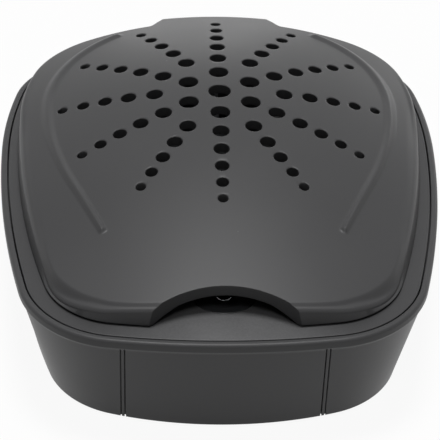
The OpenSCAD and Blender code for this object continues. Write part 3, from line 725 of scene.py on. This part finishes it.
def edge_fall(t, s):
    """How far the dome has fallen to its lip at a distance s from the edge. At the sides it falls ever
    more steeply to a small bead along the lip; round the front corners and along the front it is a
    step, deepest in the corner, where it swings inward; at the back there is none."""
    corner = hump((t - 145) / 6.5)
    front = smooth((t - 147) / 9)
    depth = 1.2 * smooth((t - 76) / 24) + 0.75 * corner - 0.65 * front
    side = 0.75 * (1 - clamped((s - 0.6) / 2.8)) ** 3 + 0.25 * (1 - clamped((s - 0.6) / 8)) ** 2
    swing = hump((t - 154.5) / (7.5 if t < 154.5 else 5))
    middle = 0.85 + 0.45 * smooth((t - 139) / 10) + swing
    step = 1 - smooth((s - middle) / (1.9 - 0.9 * front) + 0.5)
    step_share = smooth((t - 132) / 9)
    bead = 0.3 * smooth((t - 60) / 20) * (1 - 0.7 * step_share) * hump((s - 0.7) / 0.45)
    return depth * (side * (1 - step_share) + step * step_share) - bead


TONGUE_LENGTH = 4.6
TONGUE_HALF_W = 13.4
TONGUE_FLARE = 3.6


def lid_outline(inset):
    """Outline of the lid's outside, with the tongue over the hinge."""
    points = []
    for x, y in outline(LID, inset):
        tongue = TONGUE_LENGTH * (1 - smooth((abs(x) - TONGUE_HALF_W) / TONGUE_FLARE))
        points.append((x, y + (tongue if y > 0 else 0)))
    return points


def lid_top_rows():
    """Rows from the skirt's foot over the edge, the lip and the ridge to the crown."""
    rays = []
    for px, py in lid_outline(SKIRT_LEAN):
        vx, vy = px, py - VENT_Y
        far = hypot(vx, vy)
        dx, dy = vx / far, vy / far
        t = degrees(acos(max(-1, min(1, dy))))
        crest = min(ridge_at(dx, dy, t), far - 3.2 - 4.3 * smooth((t - 125) / 25))
        # Each step is a distance from the edge and the edge radius's own dip there: round the edge, over
        # the fall to the lip, on to the ridge's foot, over the ridge and in to the vents' centre
        steps = [(LID_EDGE_R * (1 - cos(a)), LID_EDGE_R * (1 - sin(a)))
                 for a in (radians(90 * k / 8) for k in range(9))]
        ridge_foot = far - crest - RIDGE_REACH
        near = LID_EDGE_R + min(3, 0.7 * (ridge_foot - LID_EDGE_R))
        steps += [(LID_EDGE_R + (near - LID_EDGE_R) * k / 12, 0) for k in range(1, 13)]
        steps += [(near + (ridge_foot - near) * k / 6, 0) for k in range(1, 6)]
        steps += [(far - crest - RIDGE_REACH + 0.2 * k, 0) for k in range(21)]
        inner = crest - RIDGE_REACH
        steps += [(far - inner * (1 - k / 36), 0) for k in range(1, 37)]
        points = []
        for s, dip in steps:
            x, y = dx * (far - s), dy * (far - s)
            z = TOTAL_H - dome_drop(x, y) + ridge_rise(t, far - s - crest) - edge_fall(t, s) - dip
            points.append((x, y + VENT_Y, z))
        rays.append(points)
    return [list(row) for row in zip(*rays)]


def lid_under_rows():
    """Rows from the crown's underside out to the skirt's foot, where the wall runs out thin."""
    edge = outline(LID, 4.4)
    rows = []
    for k in range(25):
        share = k / 24
        roof = TOTAL_H - LID_T - 0.6 * smooth((share - 0.93) / 0.07)
        scaled = [(x * share, (y - VENT_Y) * share) for x, y in edge]
        rows.append([(x, y + VENT_Y, roof - dome_drop(x, y)) for x, y in scaled])
    foot = level(LID, 1.0, LID_FOOT_Z)
    return rows + [blend_rings(rows[-1], foot, share) for share in (0.12, 0.5, 1)]


# The middle vent's diameter, then for each ring its radius, the vents' diameter and their number
MIDDLE_VENT_D = 5.4
VENT_RINGS = ((8.6, 4.7, 6), (15.7, 4, 12), (22, 3.7, 12), (27.7, 3.3, 12), (33, 2.9, 12), (38, 2.4, 12))


def vent_cutters():
    """One drill for each vent, flared where it meets the outside so that the hole's edge is broken."""
    drills = []
    places = [(0.0, 0.0, MIDDLE_VENT_D)]
    for ring_r, bore_d, count in VENT_RINGS:
        for i in range(count):
            a = pi / 2 + 2 * pi * i / count
            places.append((ring_r * cos(a), ring_r * sin(a), bore_d))
    for x, y, bore_d in places:
        slope_x, slope_y = dome_slope(x, y)
        radius = bore_d / 2
        drill = turned([(0, -10), (radius, -10), (radius, -0.22), (radius + 0.07, -0.08),
                        (radius + 0.22, 0.0), (radius + 1.0, 0.8), (0, 0.8)], 40)
        for vert in drill.verts:
            if vert.co.z > -1 * MM:
                vert.co.z -= slope_x * vert.co.x + slope_y * vert.co.y
        drills.append(placed(drill, x, y + VENT_Y, TOTAL_H - dome_drop(x, y)))
    return gathered(drills)


def barrel():
    """Crowned barrel with rounded ends, lying along X."""
    crown_d = 280
    round_r = 1.6
    flat = BARREL_HALF_W - round_r
    end_r = BARREL_R - flat * flat / crown_d
    low = [(end_r - round_r + round_r * cos(radians(a)), -flat - round_r * sin(radians(a)))
           for a in range(90, 0, -10)]
    crown = [(BARREL_R - x * x / crown_d, x) for x in [flat * k / 20 for k in range(-20, 21)]]
    high = [(r, -x) for r, x in reversed(low)]
    bm = turned([(0, -BARREL_HALF_W)] + low + crown + high + [(0, BARREL_HALF_W)], 128)
    return placed(bm, 0, *HINGE, (90, "Y"))


def knuckle_room():
    """Room for the deck's knuckle in the barrel, open below, in front and behind."""
    turn = radians(20)
    behind = (12 * cos(turn), 12 * sin(turn))
    side = [(-12, 0), (-12, -12), (12, -12), (12, -8.4), behind]
    room_r, half_w = KNUCKLE_R + 0.4, KNUCKLE_HALF_W + 0.4
    side += [(room_r * cos(a), room_r * sin(a)) for a in (turn + (pi - turn) * k / 32 for k in range(33))]
    bm = prism(side, 2 * half_w)
    upright = Matrix(((0, 0, 1, 0), (1, 0, 0, 0), (0, 1, 0, 0), (0, 0, 0, 1)))
    bmesh.ops.transform(bm, matrix=upright, verts=bm.verts)
    return placed(bm, -half_w, *HINGE)


def lid():
    """One closed skin over the outside and the inside, then the barrel, the notch and the vents."""
    foot = [[(x, y, LID_FOOT_Z + up) for x, y in lid_outline(inset)]
            for inset, up in ((0.15, 0), (0, 0.15), (0.02, 0.3))]
    shell = skin(foot + lid_top_rows() + lid_under_rows() + foot[:1])
    trim = block((-30, -70, 19), (30, 70, LID_FOOT_Z))
    notch = placed(rod(NOTCH_R, 30, 512), 0, NOTCH_Y - NOTCH_R, DECK_Z)
    bore = placed(rod(1.05, 2 * BARREL_HALF_W + 0.2, 48), -BARREL_HALF_W - 0.1, *HINGE, (90, "Y"))
    piece = joined("vented_lid", shell, [
        ("UNION", barrel()), ("DIFFERENCE", trim), ("DIFFERENCE", notch),
        ("DIFFERENCE", vent_cutters()), ("DIFFERENCE", knuckle_room()), ("DIFFERENCE", bore)])
    finished(piece, "lid", lid_abs, "lid", sharp=28)


# Start button

def bowl(r):
    """Height of the hollow in the button's face."""
    return BUTTON_TOP - 0.06 - 0.95 * (1 - (r / BOWL_R) ** 2)


def button():
    """Round cap: a flat rim with broken edges round a hollow for the fingertip, and a flange below."""
    foot, ledge, seat = LEDGE_Z - 2.4, LEDGE_Z - 0.9, LEDGE_Z - 0.6
    flange, edge_r = BUTTON_R + 0.7, 0.3
    profile = [(1.7, seat), (2.9, seat), (2.9, foot), (flange, foot), (flange, ledge), (BUTTON_R, ledge),
               (BUTTON_R, BUTTON_TOP - edge_r)]
    profile += [(BUTTON_R - edge_r * (1 - cos(radians(a))), BUTTON_TOP - edge_r * (1 - sin(radians(a))))
                for a in range(15, 91, 15)]
    profile += [(BOWL_R + 0.35, BUTTON_TOP), (BOWL_R + 0.15, BUTTON_TOP - 0.02)]
    profile += [(r, bowl(r)) for r in (BOWL_R, 4.7, 4.2, 3.6, 3.0, 2.4, 1.95)]
    profile += [(1.7, bowl(1.7) - 0.12), (1.7, seat)]
    piece = as_object("button_cap", placed(turned(profile, 128), 0, BUTTON_Y, 0))
    finished(piece, "button", button_abs, "start_button")


def lens():
    """Light pipe with a crowned face that stands a little proud of the hollow."""
    top = bowl(0) + 0.35
    profile = [(0, 21.7), (1.3, 21.7), (1.3, 24.7), (2.6, 24.7), (2.6, 25.9), (1.7, 25.9),
               (1.7, top - 0.35)]
    profile += [(1.35 + 0.35 * cos(radians(a)), top - 0.35 + 0.3 * sin(radians(a)))
                for a in (20, 40, 60, 80)]
    profile += [(0.9, top - 0.02), (0.4, top), (0, top)]
    piece = as_object("light_pipe", placed(turned(profile, 96), 0, BUTTON_Y, 0))
    finished(piece, "button", light_pipe(), "button_lens")


# Tray and feet

def tray():
    """Lift-out tray with rolled edges, a perforated floor and a rib between the two aids."""
    rows = [pole(0, VENT_Y, WELL_FLOOR), level(WELL, 3.2, WELL_FLOOR)]
    rows += fillet(WELL, 3.0, WELL_FLOOR + 1.0, 1.0, -90, -7, 6)
    rows += [level(WELL, 1.6, 20), level(WELL, 1.15, 24)]
    rows += fillet(WELL, 1.35, DECK_Z - 2.0, 0.6, 0, 180, 10)
    rows += [level(WELL, 2.3, 24), level(WELL, 2.85, 20)]
    rows += fillet(WELL, 4.2, WELL_FLOOR + 2.4, -1.2, 0, 90, 6)
    rows += [pole(0, VENT_Y, WELL_FLOOR + 1.2)]
    ring_gap = 5.4
    holes = []
    for ring in (1, 2, 3):
        for i in range(6 * ring):
            a = radians(i * 60 / ring + 30 / ring)
            drill = turned([(0, -1), (1.5, -1), (1.5, 0.95), (1.56, 1.1), (1.75, 1.25), (1.75, 3), (0, 3)],
                           32)
            x, y = ring * ring_gap * cos(a), ring * ring_gap * sin(a)
            holes.append(placed(drill, x, VENT_Y + y, WELL_FLOOR))
    rib = block((-0.7, -31, WELL_FLOOR + 0.6), (0.7, 45, DECK_Z - 4.2))
    rounded_top = placed(rod(0.7, 76, 24), 0, -31, DECK_Z - 4.7, (-90, "X"))
    piece = joined("hearing_aid_tray", skin(rows), [
        ("UNION", rib), ("UNION", rounded_top), ("DIFFERENCE", gathered(holes))])
    finished(piece, "base", tray_abs, "drying_tray")


def feet():
    """Four pads with rounded edges."""
    edge = [(4.5 + 0.5 * sin(radians(a)), 0.5 - 0.5 * cos(radians(a))) for a in range(0, 91, 15)]
    profile = [(0, 0)] + edge + [(5.0, 1.5), (0, 1.5)]
    pads = gathered([placed(turned(profile, 64), x, y, 0) for x, y in BOSSES])
    piece = as_object("foot_pads", pads)
    finished(piece, "base", foot_rubber(), "rubber_feet")


housing()
deck()
lid()
button()
lens()
tray()
feet()


# Camera, floor and light

# The photograph's viewpoint, fitted to the places of the vents: its place in metres, its turns in
# radians, and its focal length and the photograph's side in pixels
EYE = (-0.01813, -0.49746, 0.39109)
EYE_TURNS = (0.64524, -0.037136, -0.021461)
FOCAL_PX = 2540
PHOTO_PX = 440
SENSOR_MM = 36


def camera():
    """A long lens, 37 degrees down, a little from the left."""
    pitch, yaw, roll = EYE_TURNS
    right = Vector((cos(yaw), sin(yaw), 0))
    ahead = Vector((-sin(yaw) * cos(pitch), cos(yaw) * cos(pitch), -sin(pitch)))
    down = ahead.cross(right)
    across = cos(roll) * right + sin(roll) * down
    lower = -sin(roll) * right + cos(roll) * down
    turn = Matrix((across, -lower, -ahead)).transposed().to_4x4()
    data = bpy.data.cameras.new("viewpoint")
    data.sensor_width, data.lens = SENSOR_MM, SENSOR_MM * FOCAL_PX / PHOTO_PX
    data.clip_start, data.clip_end = 0.02, 20
    eye = bpy.data.objects.new("viewpoint", data)
    eye.matrix_world = Matrix.Translation(EYE) @ turn
    bpy.context.scene.collection.objects.link(eye)
    bpy.context.scene.camera = eye


def seen_directly(tree):
    """One for rays from the camera, off a gloss or through clear plastic, and nought for diffuse light."""
    rays = add(tree, "ShaderNodeLightPath")
    either = add(tree, "ShaderNodeMath", {"operation": "MAXIMUM"}, i0=rays.outputs["Is Camera Ray"],
                 i1=rays.outputs["Is Glossy Ray"])
    return add(tree, "ShaderNodeMath", {"operation": "MAXIMUM"}, i0=either.outputs[0],
               i1=rays.outputs["Is Transmission Ray"]).outputs[0]


FLOOR_WHITE = 0.93


def floor():
    """Pale paper sweep: it shows white to the eye and keeps some of the object's shadow, in the share
    that isn't FLOOR_WHITE."""
    bm = bmesh.new()
    bmesh.ops.create_circle(bm, cap_ends=True, segments=64, radius=3)
    piece = as_object("studio_floor", bm)
    material, tree, place = started("paper_sweep")
    fibres = add(tree, "ShaderNodeTexNoise", Vector=place, Scale=per_mm(2 / 3), Detail=2.0)
    tint = add(tree, "ShaderNodeMix", {"data_type": "RGBA"},
               i0=fibres.outputs["Fac"], i6=linear("#e9e9e8"), i7=linear("#efefee"))
    paper = add(tree, "ShaderNodeBsdfDiffuse", Color=tint.outputs[2])
    white = add(tree, "ShaderNodeEmission", Strength=1.0)
    share = add(tree, "ShaderNodeMath", {"operation": "MULTIPLY"}, i0=seen_directly(tree), i1=FLOOR_WHITE)
    mix = add(tree, "ShaderNodeMixShader", i0=share.outputs[0], i1=paper.outputs[0], i2=white.outputs[0])
    add(tree, "ShaderNodeOutputMaterial", Surface=mix.outputs[0])
    piece.data.materials.append(material)


# Name, place in metres, side in metres and watts of each square softbox
SOFTBOXES = (
    ("overhead", (0, 0.1, 1.33), 0.35, 13.0),
    ("near_behind", (0, 0.171, 0.5), 0.2, 0.16),
    ("high_front", (0, -0.65, 1.156), 0.35, 2.6),
    ("low_behind", (0, 1.287, 0.211), 0.35, 0.75),
    ("low_behind_right", (0.644, 1.115, 0.211), 0.35, 0.8),
)


def softbox(name, place, side, watts):
    """A square lamp aimed at the object's middle."""
    data = bpy.data.lights.new(name, "AREA")
    data.shape, data.size = "SQUARE", side
    data.energy = watts
    lamp = bpy.data.objects.new(name, data)
    lamp.location = place
    lamp.rotation_euler = (Vector((0, 0, 0.03)) - Vector(place)).to_track_quat("-Z", "Y").to_euler()
    lamp.visible_camera = False
    bpy.context.scene.collection.objects.link(lamp)


def sky():
    """Dark room that the softboxes light, with white behind the object for the eye and for reflections."""
    world = bpy.data.worlds.new("studio")
    world.use_nodes = True
    tree = world.node_tree
    tree.nodes.clear()
    room = add(tree, "ShaderNodeBackground", Color=(1, 1, 1, 1), Strength=0.03)
    white = add(tree, "ShaderNodeBackground", Color=(1, 1, 1, 1), Strength=1.0)
    mix = add(tree, "ShaderNodeMixShader", i0=seen_directly(tree), i1=room.outputs[0], i2=white.outputs[0])
    add(tree, "ShaderNodeOutputWorld", Surface=mix.outputs[0])
    bpy.context.scene.world = world


camera()
floor()
sky()
for box in SOFTBOXES:
    softbox(*box)
bpy.context.scene.view_settings.view_transform = "Standard"
